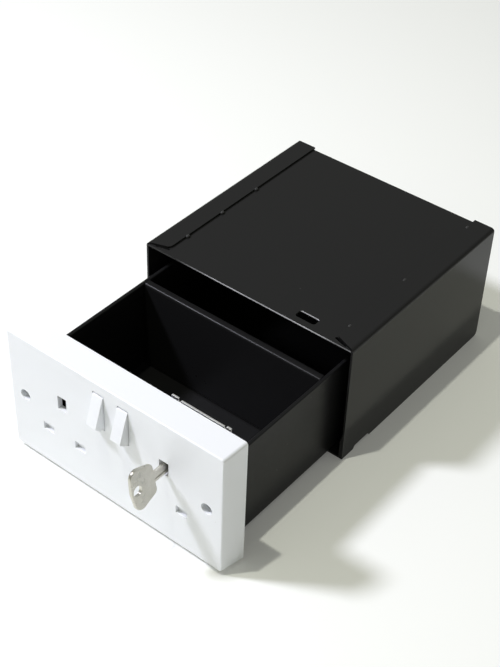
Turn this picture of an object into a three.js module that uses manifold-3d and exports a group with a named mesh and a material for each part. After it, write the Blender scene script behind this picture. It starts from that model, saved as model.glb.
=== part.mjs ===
// A wall-socket diversion safe: a white double socket plate on a steel drawer in a black steel housing
// Millimetres, +X right and +Y into the wall as seen from the front, +Z up
// The origin is the middle of the housing's base, and the drawer stands part open
import * as THREE from 'three';
import * as BufferGeometryUtils from 'three/addons/utils/BufferGeometryUtils.js';
import Module from 'manifold-3d';

const wasm = await Module();
wasm.setup();

// Clearances
const fitGap = 0.3;
const closedGap = 0.4;
const lockFaceGap = 0.5;
const camSideGap = 0.4;
const cutThrough = 1;

// Housing, hidden behind the plate, which overhangs it at the sides and stands a step above it
const housingDepth = 141;
const plateOverhang = 1.5;
const plateStep = 2.6;
const housingSheet = 1.2;
const housingBend = 1.5;
const panelBend = 1.8;
const panelRearCorner = 3;
const lapWidth = 13.5;
const lapMitre = 4.8;
const lapCorner = 2;
const footFlangeHeight = 16.5;
const footFlangeCorner = 4;
const reliefStart = 10;
const reliefLength = 17;
const reliefHeight = 2;
const weldLength = 4;
const weldLeg = 1;
const leftWelds = [19.5, 50.2, 81.8];
const rightWelds = [15.3, 67];
const rearWeldInset = 9.2;

// Slot in the housing's top that the cam rises into
const slotLength = 12.9;
const slotWidth = 5.6;
const slotCorner = 1.6;
const slotSetback = 7.1;
const slotBeyondLock = 8.06;

// Socket plate: its face's sizes, from which it widens on all four sides to a straight rim at the back
const plateWidth = 146;
const plateHeight = 80;
const plateDepth = 15.5;
const plateBottom = 2.6;
const plateCorner = 3;
const plateEdge = 1.2;
const plateFlare = 2;
const plateRim = 1;
const plateFrontWall = 3.2;
const plateSideWall = 2.2;
const socketInset = 37.96;
const earthSlotWidth = 6.2;
const earthSlotHeight = 9.2;
const earthSlotDrop = 29.99;
const pinSlotOffset = 11.47;
const pinSlotWidth = 7.56;
const pinSlotHeight = 5.2;
const pinSlotDrop = 23.91;
const pinSlotDepth = 2.2;

// Rockers, each in a well moulded in the plate
const rockerOffset = 8.31;
const wellWidth = 7.5;
const wellHeight = 23.7;
const wellDrop = 18.15;
const wellWall = 1.4;
const wellDepth = 10.6;
const pivotDepth = 2.5;
const pivotRadius = 1.2;
const pivotLength = 0.9;
const rockerFaceOffset = 6.3;
const rockerHalfFace = 9.1;
const rockerBackOffset = 2.7;
const rockerTilt = 19.4;

// Steel carrier behind the plate, and the two screws that hold the plate to it
const carrierThickness = 1.5;
const carrierCorner = 1.5;
const screwInset = 10.2;
const screwWellRadius = 3.5;
const screwWellDepth = 6;
const screwBossWall = 1.7;
const screwHeadHeight = 2.2;
const screwShankRadius = 1.75;
const screwSlotWidth = 1;
const screwSlotDepth = 1;

// Drawer
const drawerSideGap = 5.5;
const drawerHeadroom = 14.3;
const drawerRearGap = 1.8;
const drawerSheet = 1.2;
const drawerBend = 3;
const drawerHem = 6.5;
const drawerOpening = 90.4;
const dividerSetback = 77.2;
const dividerTopFlange = 4.2;
const panelFootFlange = 8;

// Lock
const barrelRadius = 9.5;
const barrelThreadRadius = 7.7;
const barrelFlat = 7;
const barrelTail = 3;
const plugRadius = 6;
const nutAcrossFlats = 20;
const nutThickness = 2.5;
const keywayWidth = 2.4;
const keywayHeight = 6;
const keywayEndWall = 1.6;
const tailSide = 6.5;
const camThickness = 2.4;
const camHalfWidth = 4.3;
const camHubRadius = 6.5;
const camScrewHeadRadius = 4.2;
const camScrewHeadHeight = 1.8;
const camScrewRadius = 1.6;
const camScrewLength = 4.5;
const waferCount = 5;
const waferPitch = 2.1;
const waferThickness = 0.8;
const waferWidth = 6.8;
const waferHeight = 9.6;
const firstWafer = 2.4;
const lockRestTurn = -12;

// Guard plate that keeps the drawer's contents off the cam
const guardHalfWidth = 19.3;
const guardSheet = 1.2;
const guardSetback = 12.4;
const guardHeadroom = 7.6;
const guardShelfDrop = 14.61;
const guardFootHeight = 10;
const guardEndWidth = 3.5;
const guardEndRise = 0.8;
const guardNotchWidth = 1.6;
const guardNotchDepth = 1.6;
const rivetOffset = 12;
const rivetRadius = 1.5;
const rivetHeadRadius = 2.5;
const rivetHeadHeight = 1;

// Key
const keyBladeHeight = 5.4;
const keyBladeThickness = 1.8;
const keyBladeLength = 24.3;
const keyBowStart = -7.5;
const keyBowThickness = 2;
const keyBowRound = 0.4;
const keyHoleRadius = 2.9;
const keyHoleSetback = 12.3;
const keyBowLength = 16.6;
const keyBowNeck = 6;
const keyBowHalfWidth = 11.9;
const keyShoulderLength = 2.4;
const keyShoulderRise = 2.5;
const keyBowWidest = 10.2;
const keyBowCorner = 15.2;
const keyBowEndHalf = 7.6;
const keyBowEndRound = 0.9;
const keyNotchDepth = 0.8;
const keyNotchHalf = 0.9;
const keyTipLength = 1;
const keyTipHalf = 0.8;

// Sizes that follow
const plateHalf = plateWidth / 2;
const plateTop = plateBottom + plateHeight;
const housingHalf = plateHalf - plateOverhang;
const housingHeight = plateTop - plateStep;
const housingFront = -housingDepth / 2;
const housingBack = housingDepth / 2;
const wrapHalf = housingHalf - housingSheet;
const lapEdge = housingHalf - lapWidth;
const wrapTop = housingHeight - housingSheet;
const wrapTopUnderside = wrapTop - housingSheet;
const plateInnerHalf = plateHalf - plateSideWall;
const carrierHalf = plateInnerHalf - fitGap;
const carrierBottom = plateBottom + plateSideWall + fitGap;
const carrierTop = plateTop - plateSideWall - fitGap;
const carrierFront = plateDepth - carrierThickness;
const socketOffset = plateHalf - socketInset;
const earthZ = plateTop - earthSlotDrop;
const pinZ = earthZ - pinSlotDrop;
const wellZ = plateTop - wellDrop;
const screwOffset = plateHalf - screwInset;
const screwZ = (plateBottom + plateTop) / 2;
const drawerHalf = wrapHalf - housingSheet - drawerSideGap;
const drawerInnerHalf = drawerHalf - drawerSheet;
const drawerHemHalf = drawerInnerHalf - drawerSheet;
const drawerBottom = housingSheet + fitGap;
const drawerFloor = drawerBottom + drawerSheet;
const drawerTop = wrapTopUnderside - drawerHeadroom;
const drawerBack = plateDepth + closedGap + housingDepth - housingSheet - drawerRearGap;
const drawerInnerBend = drawerBend - drawerSheet;
const rockerRadius = Math.hypot(rockerFaceOffset, rockerHalfFace);
const lockX = socketOffset;
const lockZ = earthZ;
const barrelFront = plateFrontWall + lockFaceGap;
const barrelBack = plateDepth + barrelTail;
const barrelBore = plugRadius + fitGap;
const plugFront = barrelFront + fitGap;
const plugBack = barrelBack + fitGap;
const keywayBack = plugBack - keywayEndWall;
const camMiddle = plateDepth + slotSetback - closedGap;
const camFront = camMiddle - camThickness / 2;
const camBack = camMiddle + camThickness / 2;
const slotRight = lockX + slotBeyondLock;
const slotLeft = slotRight - slotLength;
const camSweep = slotBeyondLock - camSideGap;
const camReach = Math.hypot(camSweep, wrapTopUnderside - lockZ);
const guardFace = plateDepth + guardSetback;
const guardTop = wrapTopUnderside - guardHeadroom;
const guardShelf = lockZ - guardShelfDrop;
const guardFoot = guardShelf - guardFootHeight;
const rivetZ = (guardFoot + guardShelf - guardSheet) / 2;
const carrierHole = barrelThreadRadius + fitGap;

// Geometry placed along the axes: an outline seen from the front, from the right side or from above
const frontBasis = new THREE.Matrix4().makeBasis(
  new THREE.Vector3(1, 0, 0), new THREE.Vector3(0, 0, 1), new THREE.Vector3(0, -1, 0));
const sideBasis = new THREE.Matrix4().makeBasis(
  new THREE.Vector3(0, 1, 0), new THREE.Vector3(0, 0, 1), new THREE.Vector3(1, 0, 0));

function solid(geometry) {
  const bare = geometry.index ? geometry.toNonIndexed() : geometry.clone();
  bare.deleteAttribute('normal');
  bare.deleteAttribute('uv');
  const merged = BufferGeometryUtils.mergeVertices(bare, 1e-4);
  return new wasm.Manifold(new wasm.Mesh({
    numProp: 3,
    vertProperties: new Float32Array(merged.attributes.position.array),
    triVerts: new Uint32Array(merged.index.array),
  }));
}

function mesh(name, body, material) {
  const { vertProperties, triVerts } = body.getMesh();
  const geometry = new THREE.BufferGeometry();
  geometry.setAttribute('position', new THREE.BufferAttribute(new Float32Array(vertProperties), 3));
  geometry.setIndex(new THREE.BufferAttribute(new Uint32Array(triVerts), 1));
  geometry.computeVertexNormals();
  const part = new THREE.Mesh(geometry, material);
  part.name = name;
  return part;
}

function block(x0, x1, y0, y1, z0, z1) {
  const geometry = new THREE.BoxGeometry(x1 - x0, y1 - y0, z1 - z0);
  geometry.translate((x0 + x1) / 2, (y0 + y1) / 2, (z0 + z1) / 2);
  return solid(geometry);
}

function extruded(outline, depth, curveSegments) {
  return new THREE.ExtrudeGeometry(outline, { depth, bevelEnabled: false, curveSegments });
}

function frontPrism(outline, y0, y1, curveSegments = 8) {
  const geometry = extruded(outline, y1 - y0, curveSegments);
  geometry.applyMatrix4(frontBasis);
  geometry.translate(0, y1, 0);
  return solid(geometry);
}

function sidePrism(outline, x0, x1, curveSegments = 8) {
  const geometry = extruded(outline, x1 - x0, curveSegments);
  geometry.applyMatrix4(sideBasis);
  geometry.translate(x0, 0, 0);
  return solid(geometry);
}

function topPrism(outline, z0, z1, curveSegments = 8) {
  const geometry = extruded(outline, z1 - z0, curveSegments);
  geometry.translate(0, 0, z0);
  return solid(geometry);
}

function rod(x, z, radius, y0, y1, sides = 40) {
  const geometry = new THREE.CylinderGeometry(radius, radius, y1 - y0, sides);
  geometry.translate(x, (y0 + y1) / 2, z);
  return solid(geometry);
}

function crossRod(x0, x1, y, z, radius, sides = 24) {
  const geometry = new THREE.CylinderGeometry(radius, radius, x1 - x0, sides);
  geometry.rotateZ(Math.PI / 2);
  geometry.translate((x0 + x1) / 2, y, z);
  return solid(geometry);
}

function roundedRectangle(x0, x1, y0, y1, radius) {
  const outline = new THREE.Shape();
  outline.moveTo(x0 + radius, y0);
  outline.lineTo(x1 - radius, y0);
  outline.absarc(x1 - radius, y0 + radius, radius, -Math.PI / 2, 0);
  outline.lineTo(x1, y1 - radius);
  outline.absarc(x1 - radius, y1 - radius, radius, 0, Math.PI / 2);
  outline.lineTo(x0 + radius, y1);
  outline.absarc(x0 + radius, y1 - radius, radius, Math.PI / 2, Math.PI);
  outline.lineTo(x0, y0 + radius);
  outline.absarc(x0 + radius, y0 + radius, radius, Math.PI, Math.PI * 1.5);
  return outline;
}

function polygon(points) {
  return new THREE.Shape(points.map(([x, y]) => new THREE.Vector2(x, y)));
}

function joined(bodies) {
  return bodies.reduce((sum, body) => sum.add(body));
}

// Materials
const blackCoat = new THREE.MeshStandardMaterial({ color: 0x0c0c0e, roughness: 0.42, metalness: 0 });
const drawerCoat = new THREE.MeshStandardMaterial({ color: 0x0a0a0b, roughness: 0.48, metalness: 0 });
const whitePlastic = new THREE.MeshStandardMaterial({ color: 0xe9edf2, roughness: 0.22, metalness: 0 });
const zinc = new THREE.MeshStandardMaterial({ color: 0xb4b8bc, roughness: 0.35, metalness: 1 });
const brass = new THREE.MeshStandardMaterial({ color: 0xb08d4a, roughness: 0.35, metalness: 1 });
const nickel = new THREE.MeshStandardMaterial({ color: 0xbdb8ac, roughness: 0.28, metalness: 1 });
const weldCoat = new THREE.MeshStandardMaterial({ color: 0x121214, roughness: 0.38, metalness: 0 });

// Housing wrap: one sheet folded into base, back and top, its base turned up along both sides
function housingWrap() {
  const inner = housingBend - housingSheet;
  const bendY = housingBack - housingBend;
  const lowBendZ = housingBend;
  const highBendZ = wrapTop - housingBend;
  const outline = new THREE.Shape();
  outline.moveTo(housingFront, 0);
  outline.lineTo(bendY, 0);
  outline.absarc(bendY, lowBendZ, housingBend, -Math.PI / 2, 0);
  outline.lineTo(housingBack, highBendZ);
  outline.absarc(bendY, highBendZ, housingBend, 0, Math.PI / 2);
  outline.lineTo(housingFront, wrapTop);
  outline.lineTo(housingFront, wrapTopUnderside);
  outline.lineTo(bendY, wrapTopUnderside);
  outline.absarc(bendY, highBendZ, inner, Math.PI / 2, 0, true);
  outline.lineTo(housingBack - housingSheet, lowBendZ);
  outline.absarc(bendY, lowBendZ, inner, 0, -Math.PI / 2, true);
  outline.lineTo(housingFront, housingSheet);
  const sheet = sidePrism(outline, -wrapHalf, wrapHalf);

  const flangeOutline = new THREE.Shape();
  flangeOutline.moveTo(housingFront, housingSheet / 2);
  flangeOutline.lineTo(housingBack - housingSheet / 2, housingSheet / 2);
  flangeOutline.lineTo(housingBack - housingSheet / 2, footFlangeHeight);
  flangeOutline.lineTo(housingFront + footFlangeCorner, footFlangeHeight);
  flangeOutline.absarc(housingFront + footFlangeCorner, footFlangeHeight - footFlangeCorner,
    footFlangeCorner, Math.PI / 2, Math.PI);
  const leftFlange = sidePrism(flangeOutline, -wrapHalf, -wrapHalf + housingSheet);
  const rightFlange = sidePrism(flangeOutline, wrapHalf - housingSheet, wrapHalf);

  const slotFront = housingFront + slotSetback - slotWidth / 2;
  const slotOutline = roundedRectangle(slotLeft, slotRight, slotFront, slotFront + slotWidth, slotCorner);
  const slot = topPrism(slotOutline, wrapTopUnderside - cutThrough, wrapTop + cutThrough);
  return joined([sheet, leftFlange, rightFlange]).subtract(slot);
}

// Side panels, each lapping over the wrap's top with a mitred front end
function sidePanel(side) {
  const outline = new THREE.Shape();
  const corner = [side * (housingHalf - panelBend), housingHeight - panelBend];
  outline.moveTo(side * wrapHalf, 0);
  outline.lineTo(side * housingHalf, 0);
  outline.lineTo(side * housingHalf, corner[1]);
  outline.absarc(corner[0], corner[1], panelBend, side > 0 ? 0 : Math.PI, Math.PI / 2, side < 0);
  outline.lineTo(side * lapEdge, housingHeight);
  outline.lineTo(side * lapEdge, wrapTop);
  outline.lineTo(side * wrapHalf, wrapTop);
  const panel = frontPrism(outline, housingFront, housingBack);

  const mitre = new THREE.Shape();
  const shareAlongMitre = 1 - lapCorner / lapWidth;
  mitre.moveTo(side * housingHalf, housingFront);
  mitre.lineTo(side * (housingHalf - lapWidth * shareAlongMitre), housingFront + lapMitre * shareAlongMitre);
  mitre.quadraticCurveTo(side * lapEdge, housingFront + lapMitre,
    side * lapEdge, housingFront + lapMitre + lapCorner);
  mitre.lineTo(side * (lapEdge - cutThrough), housingFront + lapMitre + lapCorner);
  mitre.lineTo(side * (lapEdge - cutThrough), housingFront - cutThrough);
  mitre.lineTo(side * housingHalf, housingFront - cutThrough);
  return panel.subtract(topPrism(mitre, wrapTop, housingHeight + cutThrough)).subtract(panelCorner());
}

// What is rounded off the rear bottom corner of a side panel
function panelCorner() {
  const start = housingBack - panelRearCorner;
  const outline = new THREE.Shape();
  outline.moveTo(start, -cutThrough);
  outline.lineTo(housingBack + cutThrough, -cutThrough);
  outline.lineTo(housingBack + cutThrough, panelRearCorner);
  outline.lineTo(housingBack, panelRearCorner);
  outline.absarc(start, panelRearCorner, panelRearCorner, 0, -Math.PI / 2, true);
  return sidePrism(outline, -housingHalf - cutThrough, housingHalf + cutThrough);
}

// Relief in the bottom edge of the right-hand panel
function panelRelief() {
  const start = housingFront + reliefStart;
  const outline = polygon([
    [start, -cutThrough],
    [start + reliefLength, -cutThrough],
    [start + reliefLength, 0],
    [start + reliefLength - reliefHeight, reliefHeight],
    [start + reliefHeight, reliefHeight],
    [start, 0],
  ]);
  return sidePrism(outline, wrapHalf, housingHalf + cutThrough);
}

// Tack weld in the corner between a lap's edge and the top sheet
function tackWeld(side, setback) {
  const bead = polygon([
    [side * lapEdge, wrapTop],
    [side * (lapEdge - weldLeg), wrapTop],
    [side * lapEdge, wrapTop + weldLeg],
  ]);
  const middle = housingFront + setback;
  return frontPrism(bead, middle - weldLength / 2, middle + weldLength / 2);
}

// Socket plate: a hollow moulding, open at the back, with its wells and bosses
function socketPlate() {
  const face = roundedRectangle(-plateHalf, plateHalf, plateBottom, plateTop, plateCorner);
  const geometry = new THREE.ExtrudeGeometry(face, {
    depth: plateEdge,
    bevelThickness: plateEdge,
    bevelSize: plateEdge,
    bevelOffset: -plateEdge,
    bevelSegments: 4,
    curveSegments: 6,
  });
  geometry.applyMatrix4(frontBasis);
  geometry.translate(0, plateEdge * 2, 0);
  const rimOutline = roundedRectangle(-plateHalf - plateFlare, plateHalf + plateFlare,
    plateBottom - plateFlare, plateTop + plateFlare, plateCorner);
  const rim = frontPrism(rimOutline, plateDepth - plateRim, plateDepth, 6);
  const outside = wasm.Manifold.hull([solid(geometry), rim]);
  const cavityOutline = roundedRectangle(-plateInnerHalf, plateInnerHalf,
    plateBottom + plateSideWall, plateTop - plateSideWall, plateCorner - plateSideWall);
  const cavity = frontPrism(cavityOutline, plateFrontWall, plateDepth + cutThrough);
  let body = outside.subtract(cavity);

  const wellHalf = wellWidth / 2;
  const wellTop = wellZ + wellHeight / 2;
  const wellFoot = wellZ - wellHeight / 2;
  const rooted = plateFrontWall / 2;
  for (const side of [-1, 1]) {
    const x = side * rockerOffset;
    const outerHalf = wellHalf + wellWall;
    body = body.add(block(x - outerHalf, x + outerHalf, rooted, wellDepth + wellWall,
      wellFoot - wellWall, wellTop + wellWall));
    body = body.subtract(block(x - wellHalf, x + wellHalf, -cutThrough, wellDepth, wellFoot, wellTop));
    for (const end of [-1, 1]) {
      const root = x + end * (wellHalf + wellWall / 2);
      const tip = x + end * (wellHalf - pivotLength);
      body = body.add(crossRod(Math.min(root, tip), Math.max(root, tip), pivotDepth, wellZ, pivotRadius));
    }

    const boss = rod(side * screwOffset, screwZ, screwWellRadius + screwBossWall, rooted, carrierFront);
    const screwWell = rod(side * screwOffset, screwZ, screwWellRadius, -cutThrough, screwWellDepth);
    const shankHole = rod(side * screwOffset, screwZ, screwShankRadius + fitGap,
      0, carrierFront + cutThrough);
    body = body.add(boss).subtract(screwWell).subtract(shankHole);

    const socketX = side * socketOffset;
    body = body.subtract(block(socketX - earthSlotWidth / 2, socketX + earthSlotWidth / 2,
      -cutThrough, plateFrontWall + cutThrough, earthZ - earthSlotHeight / 2, earthZ + earthSlotHeight / 2));
    for (const pin of [-1, 1]) {
      const pinX = socketX + pin * pinSlotOffset;
      body = body.subtract(block(pinX - pinSlotWidth / 2, pinX + pinSlotWidth / 2,
        -cutThrough, pinSlotDepth, pinZ - pinSlotHeight / 2, pinZ + pinSlotHeight / 2));
    }
  }
  return body;
}

// Rocker: a flat face before its pivot, ends rounded about the pivot, modelled about the pivot
function rocker() {
  const faceAngle = Math.atan2(rockerHalfFace, -rockerFaceOffset);
  const backHalf = Math.sqrt(rockerRadius ** 2 - rockerBackOffset ** 2);
  const backAngle = Math.atan2(backHalf, rockerBackOffset);
  const outline = new THREE.Shape();
  outline.moveTo(-rockerFaceOffset, -rockerHalfFace);
  outline.lineTo(-rockerFaceOffset, rockerHalfFace);
  outline.absarc(0, 0, rockerRadius, faceAngle, backAngle, true);
  outline.lineTo(rockerBackOffset, -backHalf);
  outline.absarc(0, 0, rockerRadius, -backAngle, -faceAngle, true);
  const half = wellWidth / 2 - fitGap;
  const eye = pivotLength + fitGap;
  const eyeRadius = pivotRadius + fitGap;
  const leftEye = crossRod(-half - cutThrough, -wellWidth / 2 + eye, 0, 0, eyeRadius);
  const rightEye = crossRod(wellWidth / 2 - eye, half + cutThrough, 0, 0, eyeRadius);
  return sidePrism(outline, -half, half, 12).subtract(leftEye).subtract(rightEye);
}

// Carrier: the steel plate that the plate, the lock and the drawer are all fixed to
function carrierPlate() {
  const outline = roundedRectangle(-carrierHalf, carrierHalf, carrierBottom, carrierTop, carrierCorner);
  let body = frontPrism(outline, carrierFront, plateDepth);
  const y0 = carrierFront - cutThrough;
  const y1 = plateDepth + cutThrough;
  for (const side of [-1, 1]) {
    body = body.subtract(rod(side * screwOffset, screwZ, screwShankRadius + fitGap, y0, y1));
    body = body.subtract(rod(lockX + side * rivetOffset, rivetZ, rivetRadius + fitGap, y0, y1, 20));
  }
  const flat = barrelFlat + fitGap;
  const wide = barrelRadius * 2;
  const barrelHole = rod(lockX, lockZ, carrierHole, y0, y1)
    .intersect(block(lockX - wide, lockX + wide, y0, y1, lockZ - flat, lockZ + flat));
  return body.subtract(barrelHole);
}

// Fixing screw at the bottom of one of the plate's two round wells
function plateScrew(side) {
  const x = side * screwOffset;
  const headBack = screwWellDepth;
  const headFront = headBack - screwHeadHeight;
  const head = rod(x, screwZ, screwWellRadius - fitGap, headFront, headBack);
  const shank = rod(x, screwZ, screwShankRadius, headBack - screwHeadHeight / 4, plateDepth - fitGap, 24);
  const driverSlot = block(x - screwWellRadius, x + screwWellRadius, headFront - cutThrough,
    headFront + screwSlotDepth, screwZ - screwSlotWidth / 2, screwZ + screwSlotWidth / 2);
  return head.add(shank).subtract(driverSlot);
}

// Drawer channel: floor and two hemmed side walls folded from one sheet
function drawerChannel() {
  const hemZ = drawerTop - drawerHem;
  const bendX = drawerHalf - drawerBend;
  const bendZ = drawerBottom + drawerBend;
  const outline = new THREE.Shape();
  outline.moveTo(-drawerHalf, drawerTop);
  outline.lineTo(-drawerHalf, bendZ);
  outline.absarc(-bendX, bendZ, drawerBend, Math.PI, Math.PI * 1.5);
  outline.lineTo(bendX, drawerBottom);
  outline.absarc(bendX, bendZ, drawerBend, -Math.PI / 2, 0);
  outline.lineTo(drawerHalf, drawerTop);
  outline.lineTo(drawerHemHalf, drawerTop);
  outline.lineTo(drawerHemHalf, hemZ);
  outline.lineTo(drawerInnerHalf, hemZ);
  outline.lineTo(drawerInnerHalf, bendZ);
  outline.absarc(bendX, bendZ, drawerInnerBend, 0, -Math.PI / 2, true);
  outline.lineTo(-bendX, drawerFloor);
  outline.absarc(-bendX, bendZ, drawerInnerBend, Math.PI * 1.5, Math.PI, true);
  outline.lineTo(-drawerInnerHalf, hemZ);
  outline.lineTo(-drawerHemHalf, hemZ);
  outline.lineTo(-drawerHemHalf, drawerTop);
  return frontPrism(outline, plateDepth, drawerBack);
}

// A sheet standing across the drawer, stepped in under the hems and clear of the floor's bends
function crossSheet(y) {
  const underHem = drawerTop - drawerHem - fitGap;
  const footHalf = drawerHalf - drawerBend;
  const outline = polygon([
    [-footHalf, drawerFloor],
    [footHalf, drawerFloor],
    [drawerInnerHalf, drawerFloor + drawerInnerBend],
    [drawerInnerHalf, underHem],
    [drawerHemHalf, underHem],
    [drawerHemHalf, drawerTop],
    [-drawerHemHalf, drawerTop],
    [-drawerHemHalf, underHem],
    [-drawerInnerHalf, underHem],
    [-drawerInnerHalf, drawerFloor + drawerInnerBend],
  ]);
  return frontPrism(outline, y, y + drawerSheet);
}

function divider() {
  const y = plateDepth + dividerSetback;
  const footHalf = drawerHalf - drawerBend;
  const topFlange = block(-drawerHemHalf, drawerHemHalf, y, y + dividerTopFlange,
    drawerTop - drawerSheet, drawerTop);
  const foot = block(-footHalf, footHalf, y, y + panelFootFlange, drawerFloor, drawerFloor + drawerSheet);
  return joined([crossSheet(y), topFlange, foot]);
}

function rearWall() {
  const y = drawerBack - drawerSheet;
  const footHalf = drawerHalf - drawerBend;
  const foot = block(-footHalf, footHalf, drawerBack - panelFootFlange, drawerBack,
    drawerFloor, drawerFloor + drawerSheet);
  return crossSheet(y).add(foot);
}

// Lock guard: a folded zinc-plated sheet, its foot riveted to the carrier below the lock
function lockGuard() {
  const left = lockX - guardHalfWidth;
  const right = lockX + guardHalfWidth;
  const endLeft = left + guardEndWidth;
  const endRight = right - guardEndWidth;
  const notchZ = guardTop - guardNotchDepth;
  const endZ = guardTop + guardEndRise;
  const outline = polygon([
    [left, guardShelf - guardSheet],
    [right, guardShelf - guardSheet],
    [right, endZ],
    [endRight, endZ],
    [endRight, notchZ],
    [endRight - guardNotchWidth, notchZ],
    [endRight - guardNotchWidth, guardTop],
    [endLeft + guardNotchWidth, guardTop],
    [endLeft + guardNotchWidth, notchZ],
    [endLeft, notchZ],
    [endLeft, endZ],
    [left, endZ],
  ]);
  const screen = frontPrism(outline, guardFace, guardFace + guardSheet);
  const shelf = block(left, right, plateDepth, guardFace + guardSheet, guardShelf - guardSheet, guardShelf);
  let foot = block(left, right, plateDepth, plateDepth + guardSheet, guardFoot, guardShelf);
  for (const side of [-1, 1]) {
    foot = foot.subtract(rod(lockX + side * rivetOffset, rivetZ, rivetRadius + fitGap,
      plateDepth - cutThrough, plateDepth + guardSheet + cutThrough, 20));
  }
  return joined([screen, shelf, foot]);
}

function guardRivet(side) {
  const x = lockX + side * rivetOffset;
  const back = plateDepth + guardSheet;
  const halfHead = rivetHeadHeight / 2;
  const shank = rod(x, rivetZ, rivetRadius, carrierFront - halfHead, back + halfHead, 20);
  const frontHead = rod(x, rivetZ, rivetHeadRadius, carrierFront - rivetHeadHeight, carrierFront, 24);
  const backHead = rod(x, rivetZ, rivetHeadRadius, back, back + rivetHeadHeight, 24);
  return joined([shank, frontHead, backHead]);
}

// Lock barrel, standing on the carrier, its threaded tail through the carrier to the nut
function lockBarrel() {
  const body = rod(lockX, lockZ, barrelRadius, barrelFront, carrierFront, 56);
  const wide = barrelRadius * 2;
  const thread = rod(lockX, lockZ, barrelThreadRadius, carrierFront - cutThrough, barrelBack, 56)
    .intersect(block(lockX - wide, lockX + wide, 0, barrelBack + cutThrough,
      lockZ - barrelFlat, lockZ + barrelFlat));
  const bore = rod(lockX, lockZ, barrelBore, barrelFront - cutThrough, barrelBack + cutThrough, 48);
  return body.add(thread).subtract(bore);
}

function lockNut() {
  const body = rod(lockX, lockZ, nutAcrossFlats / Math.sqrt(3), plateDepth, plateDepth + nutThickness, 6);
  const bore = rod(lockX, lockZ, carrierHole, 0, barrelBack + cutThrough, 56);
  return body.subtract(bore);
}

// The turning parts of the lock are modelled about its axis with the keyway upright
function waferMiddle(index) {
  return plugFront + firstWafer + index * waferPitch;
}

function lockPlug() {
  const tailBack = camBack - fitGap / 2;
  const body = rod(0, 0, plugRadius, plugFront, plugBack, 48);
  const tail = block(-tailSide / 2, tailSide / 2, plugBack - cutThrough, tailBack,
    -tailSide / 2, tailSide / 2);
  const keyway = block(-keywayWidth / 2, keywayWidth / 2, plugFront - cutThrough, keywayBack,
    -keywayHeight / 2, keywayHeight / 2);
  const screwHole = rod(0, 0, camScrewRadius + fitGap, camBack - camScrewLength, camBack + cutThrough, 24);
  let plug = body.add(tail).subtract(keyway).subtract(screwHole);
  const halfSlot = waferThickness / 2 + fitGap;
  const slotHalfWidth = waferWidth / 2 + fitGap;
  for (let index = 0; index < waferCount; index += 1) {
    const y = waferMiddle(index);
    plug = plug.subtract(block(-slotHalfWidth, slotHalfWidth, y - halfSlot, y + halfSlot,
      -plugRadius - cutThrough, plugRadius + cutThrough));
  }
  return plug;
}

function lockWafer(index) {
  const y = waferMiddle(index);
  const wafer = block(-waferWidth / 2, waferWidth / 2, y - waferThickness / 2, y + waferThickness / 2,
    -waferHeight / 2, waferHeight / 2);
  return wafer.subtract(block(-keywayWidth / 2, keywayWidth / 2, y - waferThickness, y + waferThickness,
    -keywayHeight / 2, keywayHeight / 2));
}

function camWasher() {
  const half = tailSide / 2 + fitGap;
  const y0 = plugBack + fitGap;
  const y1 = camFront - fitGap;
  return rod(0, 0, camHubRadius, y0, y1)
    .subtract(block(-half, half, y0 - cutThrough, y1 + cutThrough, -half, half));
}

function lockCam() {
  const half = tailSide / 2 + fitGap;
  const tipAngle = Math.asin(camHalfWidth / camReach);
  const outline = new THREE.Shape();
  outline.moveTo(0, -camHalfWidth);
  outline.lineTo(camReach * Math.cos(tipAngle), -camHalfWidth);
  outline.absarc(0, 0, camReach, -tipAngle, tipAngle);
  outline.lineTo(0, camHalfWidth);
  const hub = rod(0, 0, camHubRadius, camFront, camBack);
  return frontPrism(outline, camFront, camBack).add(hub)
    .subtract(block(-half, half, camFront - cutThrough, camBack + cutThrough, -half, half));
}

function camScrew() {
  const headFront = camBack + fitGap;
  const head = rod(0, 0, camScrewHeadRadius, headFront, headFront + camScrewHeadHeight);
  const slotFloor = headFront + camScrewHeadHeight / 2;
  const shank = rod(0, 0, camScrewRadius, camBack - camScrewLength + fitGap, slotFloor, 24);
  const driverSlot = block(-camScrewHeadRadius, camScrewHeadRadius, slotFloor,
    headFront + camScrewHeadHeight + cutThrough, -screwSlotWidth / 2, screwSlotWidth / 2);
  return head.add(shank).subtract(driverSlot);
}

// Key: a coined bow with a ring hole, and a blade cut for the wafers along both edges
function keyBowOutline() {
  const start = keyBowStart;
  const end = keyBowStart - keyBowLength;
  const shoulder = keyBowNeck + keyShoulderRise;
  const outline = new THREE.Shape();
  outline.moveTo(start, -keyBladeHeight / 2);
  outline.lineTo(start, -keyBowNeck);
  outline.quadraticCurveTo(start, -shoulder, start - keyShoulderLength, -shoulder);
  outline.lineTo(start - keyBowWidest, -keyBowHalfWidth);
  outline.quadraticCurveTo(start - keyBowCorner, -keyBowHalfWidth, end + keyBowEndRound, -keyBowEndHalf);
  outline.quadraticCurveTo(end - keyBowEndRound, 0, end + keyBowEndRound, keyBowEndHalf);
  outline.quadraticCurveTo(start - keyBowCorner, keyBowHalfWidth, start - keyBowWidest, keyBowHalfWidth);
  outline.lineTo(start - keyShoulderLength, shoulder);
  outline.quadraticCurveTo(start, shoulder, start, keyBowNeck);
  outline.lineTo(start, keyBladeHeight / 2);
  return outline;
}

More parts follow.
